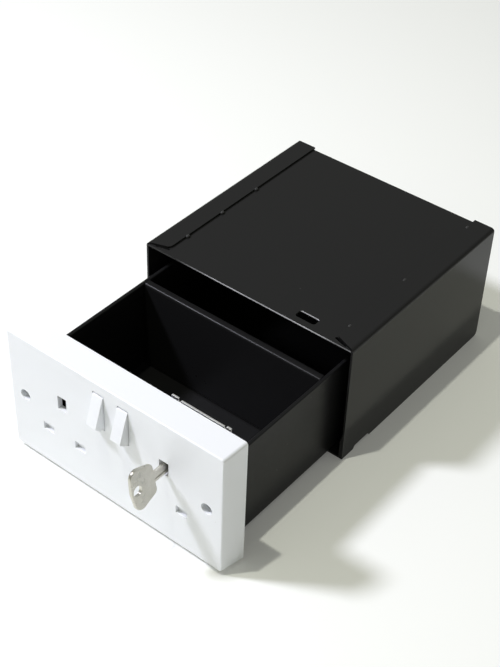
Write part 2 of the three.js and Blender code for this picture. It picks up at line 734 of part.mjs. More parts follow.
function keyBladeOutline() {
  const half = keyBladeHeight / 2;
  const root = keyBowStart - keyShoulderLength;
  const tip = keyBowStart + keyBladeLength;
  const upper = [];
  const lower = [];
  for (let index = 0; index < waferCount; index += 1) {
    const y = waferMiddle(index);
    const depth = index % 2 ? keyNotchDepth / 2 : keyNotchDepth;
    upper.push([y - keyNotchHalf, half], [y, half - depth], [y + keyNotchHalf, half]);
    lower.unshift([y + keyNotchHalf, -half], [y, depth - half], [y - keyNotchHalf, -half]);
  }
  return polygon([
    [root, half],
    ...upper,
    [tip - keyTipLength, half],
    [tip, keyTipHalf],
    [tip, -keyTipHalf],
    [tip - keyTipLength, -half],
    ...lower,
    [root, -half],
  ]);
}

function key() {
  const bow = new THREE.ExtrudeGeometry(keyBowOutline(), {
    depth: keyBowThickness - 2 * keyBowRound,
    bevelThickness: keyBowRound,
    bevelSize: keyBowRound,
    bevelOffset: -keyBowRound,
    bevelSegments: 2,
    curveSegments: 12,
  });
  bow.applyMatrix4(sideBasis);
  bow.translate(keyBowRound - keyBowThickness / 2, 0, 0);
  const blade = sidePrism(keyBladeOutline(), -keyBladeThickness / 2, keyBladeThickness / 2);
  const ringHole = crossRod(-keyBowThickness, keyBowThickness,
    keyBowStart - keyHoleSetback, 0, keyHoleRadius, 36);
  return solid(bow).add(blade).subtract(ringHole);
}

// Assembly
const housing = new THREE.Group();
housing.add(mesh('housing_wrap', housingWrap(), blackCoat));
housing.add(mesh('left_side_panel', sidePanel(-1), blackCoat));
housing.add(mesh('right_side_panel', sidePanel(1).subtract(panelRelief()), blackCoat));
leftWelds.forEach((setback, index) => {
  housing.add(mesh(`left_tack_weld_${index + 1}`, tackWeld(-1, setback), weldCoat));
});
[...rightWelds, housingDepth - rearWeldInset].forEach((setback, index) => {
  housing.add(mesh(`right_tack_weld_${index + 1}`, tackWeld(1, setback), weldCoat));
});

const lockTurn = new THREE.Group();
lockTurn.position.set(lockX, 0, lockZ);
lockTurn.rotation.y = THREE.MathUtils.degToRad(lockRestTurn);
lockTurn.add(mesh('lock_plug', lockPlug(), brass));
for (let index = 0; index < waferCount; index += 1) {
  lockTurn.add(mesh(`lock_wafer_${index + 1}`, lockWafer(index), brass));
}
lockTurn.add(mesh('cam_washer', camWasher(), zinc));
lockTurn.add(mesh('lock_cam', lockCam(), zinc));
lockTurn.add(mesh('cam_screw', camScrew(), zinc));
lockTurn.add(mesh('key', key(), nickel));

const drawer = new THREE.Group();
drawer.position.y = housingFront - closedGap - drawerOpening - plateDepth;
drawer.add(mesh('socket_plate', socketPlate(), whitePlastic));
for (const [hand, side] of [['left', -1], ['right', 1]]) {
  const part = mesh(`${hand}_rocker`, rocker(), whitePlastic);
  part.position.set(side * rockerOffset, pivotDepth, wellZ);
  part.rotation.x = THREE.MathUtils.degToRad(-rockerTilt);
  drawer.add(part);
  drawer.add(mesh(`${hand}_plate_screw`, plateScrew(side), zinc));
  drawer.add(mesh(`${hand}_guard_rivet`, guardRivet(side), zinc));
}
drawer.add(mesh('carrier_plate', carrierPlate(), drawerCoat));
drawer.add(mesh('drawer_channel', drawerChannel(), drawerCoat));
drawer.add(mesh('divider', divider(), drawerCoat));
drawer.add(mesh('rear_wall', rearWall(), drawerCoat));
drawer.add(mesh('lock_barrel', lockBarrel(), zinc));
drawer.add(mesh('lock_nut', lockNut(), zinc));
drawer.add(mesh('lock_guard', lockGuard(), zinc));
drawer.add(lockTurn);

const safe = new THREE.Group();
safe.add(housing, drawer);

export default safe;
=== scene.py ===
import math

import bmesh
import bpy
from mathutils import Matrix, Vector


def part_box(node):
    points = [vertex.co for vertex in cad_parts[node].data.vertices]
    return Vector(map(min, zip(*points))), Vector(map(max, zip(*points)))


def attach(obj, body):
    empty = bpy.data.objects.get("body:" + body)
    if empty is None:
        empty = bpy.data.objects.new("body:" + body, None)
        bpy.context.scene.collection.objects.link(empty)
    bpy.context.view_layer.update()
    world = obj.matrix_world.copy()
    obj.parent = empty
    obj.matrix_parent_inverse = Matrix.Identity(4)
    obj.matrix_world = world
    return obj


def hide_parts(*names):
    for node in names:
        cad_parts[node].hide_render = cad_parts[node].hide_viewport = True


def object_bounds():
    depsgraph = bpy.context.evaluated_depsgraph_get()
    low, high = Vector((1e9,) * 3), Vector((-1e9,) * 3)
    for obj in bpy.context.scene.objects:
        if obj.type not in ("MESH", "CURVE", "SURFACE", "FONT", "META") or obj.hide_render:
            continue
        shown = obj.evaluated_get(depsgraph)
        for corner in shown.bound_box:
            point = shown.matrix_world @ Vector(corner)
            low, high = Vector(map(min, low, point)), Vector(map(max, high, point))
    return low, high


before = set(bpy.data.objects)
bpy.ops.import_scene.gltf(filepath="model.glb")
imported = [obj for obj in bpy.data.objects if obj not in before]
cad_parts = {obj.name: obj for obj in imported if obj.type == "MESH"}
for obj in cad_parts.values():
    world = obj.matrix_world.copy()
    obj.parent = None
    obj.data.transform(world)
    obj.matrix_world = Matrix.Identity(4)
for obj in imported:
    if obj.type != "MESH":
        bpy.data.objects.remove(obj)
cad_low, cad_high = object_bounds()
bpy.context.scene.view_settings.view_transform = "Standard"


# Camera
# A small wall-socket safe stands on a table and is seen from its right, from above and from
# about 0.8 m away, as in a catalogue picture of 500 by 667 pixels.
MM = 0.001
picture_height = 667
focal_in_pixels = 1376.36
sensor_long_side = 36
camera_place = Vector((352.70, -528.65, 545.62)) * MM
camera_turn = 0.650183
camera_rise = 0.706727
camera_roll = 0.040931
nearest_seen = 10 * MM

view_back = Vector((
    math.sin(camera_turn) * math.cos(camera_rise),
    -math.cos(camera_turn) * math.cos(camera_rise),
    math.sin(camera_rise),
))
level_right = Vector((0, 0, 1)).cross(view_back).normalized()
level_up = view_back.cross(level_right)
view_right = math.cos(camera_roll) * level_right + math.sin(camera_roll) * level_up
view_up = math.cos(camera_roll) * level_up - math.sin(camera_roll) * level_right

bpy.ops.object.select_all(action="DESELECT")
bpy.ops.object.camera_add()
camera = bpy.context.object
camera.name = "catalogue_camera"
camera.matrix_world = Matrix.Translation(camera_place) @ Matrix(
    (view_right, view_up, view_back)).transposed().to_4x4()
camera.data.sensor_fit = "VERTICAL"
camera.data.sensor_height = sensor_long_side
camera.data.lens = sensor_long_side * focal_in_pixels / picture_height
camera.data.clip_start = nearest_seen
bpy.context.scene.camera = camera


# Table and lamps
# A pale table stands in a room with a high lamp nearly overhead and a broad one from the front
# left. The black coat mirrors the room, which is pale at table height, dim above and dark on
# the right, while the camera sees it as plain white.
table_size = 12
table_drop = 0.2 * MM
table_colour = (0.935, 0.945, 0.905, 1)
table_lift = 0.07
room_low = (0.4, 0.41, 0.33, 1)
room_high = (0.26, 0.265, 0.232, 1)
room_right = (0.2, 0.2, 0.19, 1)
room_turn_from = 0.1
room_turn_to = 0.4
room_right_from = 0.25
room_right_to = 0.6
lamp_distance = 1.5


def wire(tree, node, feeds):
    """Feeds a node's inputs, each from another node's output or with a plain value."""
    for name, source in feeds.items():
        if isinstance(source, bpy.types.NodeSocket):
            tree.links.new(source, node.inputs[name])
        else:
            node.inputs[name].default_value = source


def add_node(tree, kind, feeds, **settings):
    """A new shader node with its settings and what feeds its inputs."""
    node = tree.nodes.new(f"ShaderNode{kind}")
    for name, value in settings.items():
        setattr(node, name, value)
    wire(tree, node, feeds)
    return node


def reckon(tree, operation, first, second=0.0, clamp=False):
    """One step of arithmetic on two numbers."""
    return add_node(tree, "Math", {0: first, 1: second}, operation=operation, use_clamp=clamp).outputs[0]


def blended(tree, share, first, second):
    """The colour that lies at a share of the way between two colours."""
    # A Mix node takes its two colours at inputs 6 and 7 and gives the result at output 2
    return add_node(tree, "Mix", {0: share, 6: first, 7: second}, data_type="RGBA").outputs[2]


def stretched(tree, value, low, high, to_low=0.0, to_high=1.0):
    """A value taken from one range to another and kept inside it."""
    return add_node(tree, "MapRange", {0: value, 1: low, 2: high, 3: to_low, 4: to_high}).outputs[0]


def new_material(name):
    """A material with its Principled shader, as (material, node tree, shader)."""
    material = bpy.data.materials.new(name)
    material.use_nodes = True
    tree = material.node_tree
    return material, tree, tree.nodes["Principled BSDF"]


bpy.ops.object.select_all(action="DESELECT")
bpy.ops.mesh.primitive_plane_add(size=table_size, location=(0, 0, -table_drop))
table = bpy.context.object
table.name = "table_top"
table_finish, tree, shader = new_material("table_finish")
# The table glows a little, but only to the camera and in mirrors
rays = add_node(tree, "LightPath", {})
seen = reckon(tree, "MAXIMUM", rays.outputs["Is Camera Ray"], rays.outputs["Is Glossy Ray"])
wire(tree, shader, {
    "Base Color": table_colour,
    "Roughness": 0.9,
    "Specular IOR Level": 0.1,
    "Emission Color": (1, 1, 1, 1),
    "Emission Strength": reckon(tree, "MULTIPLY", seen, table_lift),
})
table.data.materials.append(table_finish)

room = bpy.data.worlds.new("room")
room.use_nodes = True
bpy.context.scene.world = room
tree = room.node_tree
place = add_node(tree, "TexCoord", {})
parts = add_node(tree, "SeparateXYZ", {0: place.outputs["Generated"]})
rise = add_node(tree, "MapRange", {0: parts.outputs["Z"], 1: room_turn_from, 2: room_turn_to},
                interpolation_type="SMOOTHSTEP")
rightwards = add_node(tree, "MapRange", {0: parts.outputs["X"], 1: room_right_from, 2: room_right_to},
                      interpolation_type="SMOOTHSTEP")
above = blended(tree, rightwards.outputs[0], room_high, room_right)
rays = add_node(tree, "LightPath", {})
around = blended(tree, rise.outputs[0], room_low, above)
wire(tree, tree.nodes["Background"], {
    "Color": blended(tree, rays.outputs["Is Camera Ray"], around, (1, 1, 1, 1))})


def hang_lamp(name, towards, size, power, colour):
    """An area lamp that shines along towards at the middle of the safe."""
    aim = (cad_low + cad_high) / 2
    direction = Vector(towards).normalized()
    bpy.ops.object.select_all(action="DESELECT")
    bpy.ops.object.light_add(type="AREA", location=aim - direction * lamp_distance)
    lamp = bpy.context.object
    lamp.name = name
    lamp.rotation_euler = direction.to_track_quat("-Z", "Y").to_euler()
    lamp.data.shape = "DISK"
    lamp.data.size = size
    lamp.data.energy = power
    lamp.data.color = colour


hang_lamp("high_lamp", towards=(0.1, 0.25, -1), size=0.04, power=6.2, colour=(1, 1, 0.88))
hang_lamp("left_lamp", towards=(0.66, 0.52, -1), size=0.2, power=16.5, colour=(0.97, 0.975, 1.12))


# Housing wrap
# Base, back and top are folded from one 1.2 mm steel sheet, and the base is turned up along
# both sides. The top has the lock's slot and a thin slit in front of each side's mitre. A
# painted highlight of pale steel lies on the upper half of the top's front edge and the slot's back edge.
wrap_low, wrap_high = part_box("housing_wrap")
sheet = 1.2 * MM
half_sheet = sheet / 2
housing_bend = 1.5 * MM
foot_flange_height = 16.5 * MM
foot_flange_corner = 4 * MM
slot_right = 43.1 * MM
slot_length = 12.9 * MM
slot_width = 5.6 * MM
slot_setback = 7.1 * MM
slot_corner = 1.6 * MM
coat_edge = 0.4 * MM
coat_shine = 0.13
lap_width = 13.5 * MM
lap_mitre = 4.8 * MM
mitre_slit_width = 1.6 * MM
mitre_slit_taper = 0.4
mitre_slit_share = 0.6
coat_black = (0.0172, 0.0172, 0.0172, 1)
# Painted highlight: pale steel colour and the band it covers, for the glint along the top's front and slot
# edges
glint_colour = (0.75, 0.75, 0.77, 1)
glint_depth = 0.75 * sheet
glint_from = -50 * MM
glint_full = -20 * MM
glint_until = 48 * MM
glint_end = 60 * MM
glint_end_share = 0.35
facing = 0.5
tiny = 0.01 * MM
sliver = tiny / 5
soften_angle = math.radians(35)
smooth_angle = math.radians(40)
X, Y, Z = range(3)


def only(piece):
    """Makes the piece the one selected and active object."""
    bpy.ops.object.select_all(action="DESELECT")
    piece.select_set(True)
    bpy.context.view_layer.objects.active = piece


def settle(piece, name):
    """Names the newly added piece and puts its place into its mesh."""
    piece.name = name
    only(piece)
    bpy.ops.object.transform_apply(location=True, rotation=True, scale=True)
    return piece


def block(name, corner, opposite):
    """A box between two opposite corners."""
    corner, opposite = Vector(corner), Vector(opposite)
    bpy.ops.object.select_all(action="DESELECT")
    bpy.ops.mesh.primitive_cube_add(size=1, location=(corner + opposite) / 2)
    piece = bpy.context.object
    piece.scale = [abs(length) for length in opposite - corner]
    return settle(piece, name)


def flat_sheet(name, middle, width, length, turn=(0, 0, 0)):
    """A rectangle without thickness around its middle, level or turned, to fold a sheet from."""
    bpy.ops.object.select_all(action="DESELECT")
    bpy.ops.mesh.primitive_plane_add(size=1, location=middle, rotation=turn)
    piece = bpy.context.object
    piece.scale = (width, length, 1)
    return settle(piece, name)


def along(axis):
    """Wants the edges that run along one axis."""
    return lambda ends: all(
        abs((ends[0] - ends[1])[other]) < tiny for other in (X, Y, Z) if other != axis)


def every(wanted):
    """Wants the corners, edges or faces that have all their corners pass the test."""
    return lambda ends: all(wanted(end) for end in ends)


def pick(piece, kind, wanted):
    """Goes into edit mode with the wanted corners, edges or faces selected."""
    only(piece)
    bpy.ops.object.mode_set(mode="EDIT")
    bpy.ops.mesh.select_mode(type=kind)
    bpy.ops.mesh.select_all(action="DESELECT")
    shape = bmesh.from_edit_mesh(piece.data)
    for part in {"VERT": shape.verts, "EDGE": shape.edges, "FACE": shape.faces}[kind]:
        corners = [part] if kind == "VERT" else part.verts
        if wanted([corner.co for corner in corners]):
            part.select_set(True)
    bmesh.update_edit_mesh(piece.data)


def pick_all(piece):
    """Goes into edit mode with every face selected."""
    pick(piece, "FACE", lambda corners: True)


def leave_edit():
    """Goes back to object mode."""
    bpy.ops.object.mode_set(mode="OBJECT")


def face_outwards(piece):
    """Turns every face of a closed piece outwards."""
    pick_all(piece)
    bpy.ops.mesh.normals_make_consistent(inside=False)
    leave_edit()


def round_edges(piece, radius, wanted, steps=6):
    """Rounds the wanted edges."""
    pick(piece, "EDGE", wanted)
    bpy.ops.mesh.bevel(offset=radius, offset_type="OFFSET", segments=steps, profile=0.5,
                       affect="EDGES")
    leave_edit()


def rounded_block(name, low, high, axis, radius, steps=6):
    """A box whose four edges along one axis are rounded."""
    piece = block(name, low, high)
    round_edges(piece, radius, along(axis), steps)
    return piece


def fold_out(piece, wanted, by):
    """Extrudes the wanted edges of a sheet by a vector."""
    pick(piece, "EDGE", wanted)
    bpy.ops.mesh.extrude_region_move(TRANSFORM_OT_translate={"value": by})
    leave_edit()


def move_corners(piece, wanted, by):
    """Moves the wanted edges of a piece by a vector."""
    pick(piece, "EDGE", wanted)
    bpy.ops.transform.translate(value=by)
    leave_edit()


def apply_step(piece, kind, **settings):
    """Adds a modifier with these settings to the piece and applies it."""
    only(piece)
    step = piece.modifiers.new("step", kind)
    for name, value in settings.items():
        setattr(step, name, value)
    bpy.ops.object.modifier_apply(modifier=step.name)


def thicken(piece, thickness=sheet):
    """Gives a folded sheet its thickness, half to each side."""
    apply_step(piece, "SOLIDIFY", thickness=thickness, offset=0, use_even_offset=True)
    face_outwards(piece)


def carve(piece, tool, operation="DIFFERENCE"):
    """Cuts the tool out of the piece, or joins it on, and removes the tool."""
    apply_step(piece, "BOOLEAN", object=tool, operation=operation, solver="EXACT")
    bpy.data.objects.remove(tool)


def soften(piece, width, steps=2, slivers=False):
    """Takes the sharpness off every edge, drops slivers if asked, and shades by the large faces."""
    apply_step(piece, "BEVEL", width=width, segments=steps, limit_method="ANGLE",
               angle_limit=soften_angle, miter_outer="MITER_ARC")
    if slivers:
        pick_all(piece)
        bpy.ops.mesh.dissolve_degenerate(threshold=sliver)
        leave_edit()
    only(piece)
    bpy.ops.object.shade_smooth_by_angle(angle=smooth_angle)
    apply_step(piece, "WEIGHTED_NORMAL", keep_sharp=True, weight=60)


def fit(piece, finish, slot, body, *nodes):
    """Gives the piece its finish, fixes it to its body and lets it stand for its nodes."""
    piece.data.materials.clear()
    piece.data.materials.append(finish)
    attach(piece, body)
    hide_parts(*nodes)


def new_group(name, numbers):
    """A shader node group that makes one value from numbers, as (group, inputs, output)."""
    group = bpy.data.node_groups.new(name, "ShaderNodeTree")
    for label, value in numbers.items():
        socket = group.interface.new_socket(label, in_out="INPUT", socket_type="NodeSocketFloat")
        socket.default_value = value
    group.interface.new_socket("value", in_out="OUTPUT", socket_type="NodeSocketFloat")
    given = group.nodes.new("NodeGroupInput").outputs
    return group, given, group.nodes.new("NodeGroupOutput")


def use_group(tree, group, **numbers):
    """The value of a node group placed in a material with its own numbers."""
    node = tree.nodes.new("ShaderNodeGroup")
    node.node_tree = group
    wire(tree, node, numbers)
    return node.outputs[0]


# Rubbed edges: where a rounded normal leaves the true one, broken up by noise
wear_gain = 4
edge_wear, given, result = new_group("edge_wear", {"radius": 0.3 * MM, "start": 0.02, "patches": 400})
soft = add_node(edge_wear, "Bevel", {"Radius": given["radius"]}, samples=6)
hard = add_node(edge_wear, "NewGeometry", {})
agree = add_node(edge_wear, "VectorMath", {0: soft.outputs[0], 1: hard.outputs["Normal"]},
                 operation="DOT_PRODUCT")
place = add_node(edge_wear, "TexCoord", {})
patches = add_node(edge_wear, "TexNoise", {
    "Vector": place.outputs["Object"], "Scale": given["patches"], "Detail": 4, "Roughness": 0.6})
differ = reckon(edge_wear, "SUBTRACT", 1.0, agree.outputs["Value"])
patchy = reckon(edge_wear, "MULTIPLY", differ, stretched(edge_wear, patches.outputs[0], 0.35, 0.65))
beyond = reckon(edge_wear, "SUBTRACT", patchy, given["start"])
wire(edge_wear, result, {0: reckon(edge_wear, "MULTIPLY", beyond, wear_gain, clamp=True)})

# Grain: noise at a fine and a coarse scale, for orange peel, cast skin and uneven gloss
grain, given, result = new_group("grain", {"fine": 1500, "coarse": 60, "share": 0.3})
place = add_node(grain, "TexCoord", {})
fine = add_node(grain, "TexNoise", {
    "Vector": place.outputs["Object"], "Scale": given["fine"], "Detail": 3, "Roughness": 0.55})
coarse = add_node(grain, "TexNoise", {
    "Vector": place.outputs["Object"], "Scale": given["coarse"], "Detail": 4, "Roughness": 0.6})
both = add_node(grain, "Mix", {0: given["share"], 2: fine.outputs[0], 3: coarse.outputs[0]},
                data_type="FLOAT")
wire(grain, result, {0: both.outputs[0]})

# Specks: the middles of a few cells, for dust
specks, given, result = new_group("specks", {"cells": 90, "size": 0.06, "share": 0.3})
place = add_node(specks, "TexCoord", {})
cells = add_node(specks, "TexVoronoi", {"Vector": place.outputs["Object"], "Scale": given["cells"]})
luck = add_node(specks, "SeparateColor", {0: cells.outputs["Color"]})
inside = reckon(specks, "LESS_THAN", cells.outputs["Distance"], given["size"])
few = reckon(specks, "LESS_THAN", luck.outputs["Red"], given["share"])
wire(specks, result, {0: reckon(specks, "MULTIPLY", inside, few)})


def powder_coat(name, colour, worn, dust, rough, rough_more, peel):
    """Powder coat: orange peel, uneven gloss, rubbed edges and a few specks of dust."""
    finish, tree, shader = new_material(name)
    wear = use_group(tree, edge_wear, radius=0.35 * MM, start=0.04, patches=140)
    dots = use_group(tree, specks, cells=110, size=0.05, share=0.12)
    gloss = use_group(tree, grain, fine=420, coarse=28, share=0.6)
    skin = use_group(tree, grain, fine=1100, coarse=450, share=0.5)
    bump = add_node(tree, "Bump", {"Strength": peel, "Distance": 0.05 * MM, "Height": skin})
    wire(tree, shader, {
        "Base Color": blended(tree, dots, blended(tree, wear, colour, worn), dust),
        "Roughness": stretched(tree, gloss, 0.3, 0.7, rough, rough + rough_more),
        "Specular IOR Level": coat_shine,
        "Normal": bump.outputs[0],
    })
    return finish


black_coat = powder_coat("black_coat", colour=coat_black, worn=(0.035, 0.035, 0.036, 1),
                         dust=(0.04, 0.04, 0.04, 1), rough=0.12, rough_more=0.08, peel=0.1)
# Painted shade: a near-black coat for the mitres' cut faces and the slits' walls, where the seam lies in
# shade
painted_seam_shade = powder_coat("painted_seam_shade", colour=(0.003, 0.003, 0.003, 1), worn=(0.01, 0.01, 0.01, 1),
                        dust=(0.01, 0.01, 0.01, 1), rough=0.5, rough_more=0.2, peel=0.2)


def finish_faces(piece, finish, wanted):
    """Gives the faces whose middles pass the test a finish of their own."""
    piece.data.materials.append(finish)
    for face in piece.data.polygons:
        if wanted(face.center, face.normal):
            face.material_index = len(piece.data.materials) - 1


fold_back = wrap_high.y - half_sheet
wrap_top = wrap_high.z
wrap = flat_sheet("wrap_sheet", (0, (wrap_low.y + fold_back) / 2, half_sheet),
                  wrap_high.x - wrap_low.x, fold_back - wrap_low.y)
fold_out(wrap, every(lambda p: p.y > fold_back - tiny), (0, 0, wrap_top - sheet))
fold_out(wrap, every(lambda p: p.z > half_sheet + tiny), (0, wrap_low.y - fold_back, 0))
round_edges(wrap, housing_bend - half_sheet,
            lambda ends: along(X)(ends) and ends[0].y > fold_back - tiny)
thicken(wrap)
for side in (-1, 1):
    outer = side * wrap_high.x
    flange = block("foot_flange", (outer, wrap_low.y, half_sheet),
                   (outer - side * sheet, fold_back, foot_flange_height))
    round_edges(flange, foot_flange_corner,
                every(lambda p: p.y < wrap_low.y + tiny and p.z > foot_flange_height - tiny))
    carve(wrap, flange, "UNION")
slot_middle = wrap_low.y + slot_setback
slot_tool = rounded_block(
    "slot_tool", (slot_right - slot_length, slot_middle - slot_width / 2, wrap_top - 2 * sheet),
    (slot_right, slot_middle + slot_width / 2, wrap_top + sheet), Z, slot_corner)
carve(wrap, slot_tool)
for side in (-1, 1):
    outer = Vector((side * (wrap_high.x + sheet), wrap_low.y, wrap_top))
    inner = Vector((side * (wrap_high.x + sheet - lap_width), wrap_low.y + lap_mitre, wrap_top))
    run = (outer - inner) * mitre_slit_share
    slit_front = -side * mitre_slit_width
    slit = block("mitre_slit", (0, 0, -2 * sheet), (run.length, slit_front, sheet))
    move_corners(slit, every(lambda p: p.x > tiny and abs(p.y - slit_front) < tiny),
                 (0, -slit_front * mitre_slit_taper, 0))
    slit.rotation_euler.z = math.atan2(run.y, run.x)
    slit.location = inner
    settle(slit, slit.name)
    carve(wrap, slit)
soften(wrap, coat_edge)
fit(wrap, black_coat, "black_coat", "housing", "housing_wrap")

# Painted highlight on the cut edges: pale steel on their upper half, most along the middle of the front,
# standing in for the lamp's glint
painted_edge_glint, tree, shader = new_material("painted_edge_glint")
place = add_node(tree, "TexCoord", {})
parts = add_node(tree, "SeparateXYZ", {0: place.outputs["Object"]})
patches = use_group(tree, grain, fine=500, coarse=90, share=0.5)
left_fade = stretched(tree, parts.outputs["X"], glint_from, glint_full)
right_fade = stretched(tree, parts.outputs["X"], glint_until, glint_end, 1.0, glint_end_share)
upper_half = stretched(tree, parts.outputs["Z"], wrap_top - glint_depth, wrap_top - half_sheet)
glint = reckon(tree, "MULTIPLY", reckon(tree, "MULTIPLY", left_fade, right_fade), upper_half)
glint = reckon(tree, "MULTIPLY", glint, stretched(tree, patches, 0.3, 0.6, 0.6, 1.0))
wire(tree, shader, {
    "Base Color": blended(tree, glint, coat_black, glint_colour),
    "Roughness": stretched(tree, patches, 0.3, 0.7, 0.3, 0.42),
    "Specular IOR Level": coat_shine,
})
# Painted highlight: the top's front edge and the slot's back edge take the pale steel colour
finish_faces(wrap, painted_edge_glint, lambda p, n: (
    p.z > wrap_top - glint_depth and n.y < -facing
    and (p.y < wrap_low.y + coat_edge or abs(p.y - slot_middle - slot_width / 2) < coat_edge)))
# The slits' walls get the near-black coat as painted shade
finish_faces(wrap, painted_seam_shade, lambda p, n: (
    abs(n.z) < facing and p.z > wrap_top - sheet and abs(p.x) > wrap_high.x - lap_width
    and wrap_low.y + coat_edge < p.y < wrap_low.y + lap_mitre + mitre_slit_width))


# Side panels
# Each side is one flat 1.2 mm sheet whose top edge is folded in over the wrap. The fold's
# front end is mitred so that it clears the drawer's mouth, and the coat is the wrap's, with painted shade
# on the mitre's cut face.
panel_bend = 2.3 * MM
panel_rear_corner = 3 * MM
lap_corner = 2 * MM
relief_start = 10 * MM
relief_length = 17 * MM
relief_height = 2 * MM
near = 0.05 * MM
mitre_facing = 0.8

for hand, side in (("left", -1), ("right", 1)):
    low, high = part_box(f"{hand}_side_panel")
    outer = side * max(abs(low.x), abs(high.x))
    lap_edge = side * min(abs(low.x), abs(high.x))
    middle = outer - side * half_sheet
    lap_middle = high.z - half_sheet
    panel = flat_sheet(f"{hand}_panel_sheet", (middle, 0, lap_middle / 2),
                       lap_middle, high.y - low.y, turn=(0, math.pi / 2, 0))
    fold_out(panel, every(lambda p: p.z > lap_middle - tiny), (lap_edge - middle, 0, 0))
    round_edges(panel, panel_bend - half_sheet,
                every(lambda p: p.z > lap_middle - tiny and abs(p.x - middle) < tiny))
    thicken(panel)
    round_edges(panel, panel_rear_corner,
                every(lambda p: p.y > high.y - tiny and p.z < low.z + tiny), steps=8)

    past_edge = lap_edge - side * sheet
    cut_depth = lap_mitre * (lap_width + sheet) / lap_width
    mitre_tool = block("mitre_tool", (outer, low.y - sheet, wrap_top - near),
                       (past_edge, low.y + cut_depth, high.z + sheet))
    move_corners(mitre_tool, every(lambda p: abs(p.x - outer) < tiny and p.y > low.y), (0, -cut_depth, 0))
    carve(panel, mitre_tool)
    round_edges(panel, lap_corner,
                every(lambda p: abs(p.x - lap_edge) < near and abs(p.y - low.y - lap_mitre) < near))

    if side > 0:
        relief_front = low.y + relief_start
        relief_back = relief_front + relief_length
        relief_tool = block("relief_tool", (middle - sheet, relief_front, -sheet),
                            (middle + sheet, relief_back, relief_height))
        move_corners(relief_tool, every(lambda p: p.z > 0 and p.y < relief_front + tiny),
                     (0, relief_height, 0))
        move_corners(relief_tool, every(lambda p: p.z > 0 and p.y > relief_back - tiny),
                     (0, -relief_height, 0))
        carve(panel, relief_tool)
    soften(panel, coat_edge)
    fit(panel, black_coat, "black_coat", "housing", f"{hand}_side_panel")
    # The mitre's cut face gets the near-black coat as painted shade of the seam
    mitre_faces = Vector((-side * lap_mitre, -lap_width, 0)).normalized()
    finish_faces(panel, painted_seam_shade, lambda p, n: n.dot(mitre_faces) > mitre_facing and p.z > wrap_top)


# Tack welds
# Three short beads along each lap hold it down on the wrap. They are ground a little and lie
# under a black coat painted lighter than the wrap's as a painted sheen, which runs thin on their crests.
weld_radius = 1 * MM
weld_rise = 0.7 * MM
weld_lap = {"left": -0.4 * MM, "right": 0.5 * MM}
weld_roughness = 0.07 * MM
weld_share = 0.7

# Painted sheen: the beads' coat is lighter than the wrap's so that they read as softly lit bumps
painted_weld_sheen = powder_coat("painted_weld_sheen", colour=(0.045, 0.045, 0.045, 1), worn=(0.09, 0.09, 0.09, 1),
                        dust=(0.06, 0.06, 0.06, 1), rough=0.36, rough_more=0.1, peel=0.14)

for hand, side in (("left", -1), ("right", 1)):
    for index in (1, 2, 3):
        node = f"{hand}_tack_weld_{index}"
        low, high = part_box(node)
        lap_edge = side * max(abs(low.x), abs(high.x))
        bpy.ops.object.select_all(action="DESELECT")
        bpy.ops.mesh.primitive_uv_sphere_add(segments=24, ring_count=16, radius=1)
        weld = bpy.context.object
        weld.rotation_euler.x = math.pi / 2
        settle(weld, f"{hand}_weld_bead_{index}")
        weld.location = (lap_edge + side * weld_lap[hand], (low.y + high.y) / 2, wrap_top + weld_rise)
        weld.scale = (weld_radius, weld_share * (high.y - low.y) / 2, weld_radius)
        settle(weld, weld.name)
        pick_all(weld)
        bpy.ops.transform.vertex_random(offset=weld_roughness, seed=index)
        leave_edit()
        apply_step(weld, "SUBSURF", levels=1, render_levels=1)
        bpy.ops.object.shade_smooth()
        fit(weld, painted_weld_sheen, "black_coat", "housing", node)


# Socket plate
# One white plastic moulding made like a double wall socket, hollow and open at the back. Its
# rocker wells and screw bosses reach inwards, the two earth slots go through its front wall,
# and the four pin slots are shallow.
plate_low, plate_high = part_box("socket_plate")
plate_front = plate_low.y
plate_corner = 1.7 * MM
plate_edge = 0.9 * MM
plate_flare = 2 * MM
front_wall = 3.2 * MM
side_wall = 2.2 * MM
lock_x = 35.04 * MM
lock_z = 52.61 * MM
earth_slot_width = 6.2 * MM
earth_slot_height = 9.2 * MM
pin_slot_z = 28.7 * MM
pin_slot_offset = 11.47 * MM
pin_slot_width = 7.56 * MM
pin_slot_height = 5.2 * MM
pin_slot_depth = 2.2 * MM
rocker_x = 8.31 * MM
rocker_z = 64.45 * MM
rocker_well_width = 7.5 * MM
rocker_well_height = 23.7 * MM
rocker_well_depth = 10.6 * MM
rocker_well_wall = 1.4 * MM
pivot_y = plate_front + 2.5 * MM
pivot_radius = 1.2 * MM
pivot_length = 0.9 * MM
screw_x = 62.8 * MM
screw_z = 42.6 * MM
screw_well_radius = 3.5 * MM
screw_well_depth = 6 * MM
screw_boss_wall = 1.7 * MM
screw_boss_setback = 1.5 * MM
screw_shank_radius = 1.75 * MM
moulded_rim = 0.25 * MM
fit_gap = 0.3 * MM


def rod(name, start, end, radius, sides=64):
    """A round bar from one point to another."""
    start, end = Vector(start), Vector(end)
    bpy.ops.object.select_all(action="DESELECT")
    bpy.ops.mesh.primitive_cylinder_add(vertices=sides, radius=radius, depth=(end - start).length,
                                        location=(start + end) / 2,
                                        rotation=(end - start).to_track_quat("Z", "Y").to_euler())
    return settle(bpy.context.object, name)


def rod_inwards(name, x, z, start, end, radius, sides=64):
    """A round bar along Y from one depth to another."""
    return rod(name, (x, start, z), (x, end, z), radius, sides)


def open_front(name, x, z, width, height, depth):
    """Cuts an opening with slightly rounded corners into the plate's front."""
    carve(plate, rounded_block(
        name, (x - width / 2, plate_front - sheet, z - height / 2),
        (x + width / 2, plate_front + depth, z + height / 2), Y, moulded_rim, steps=3))


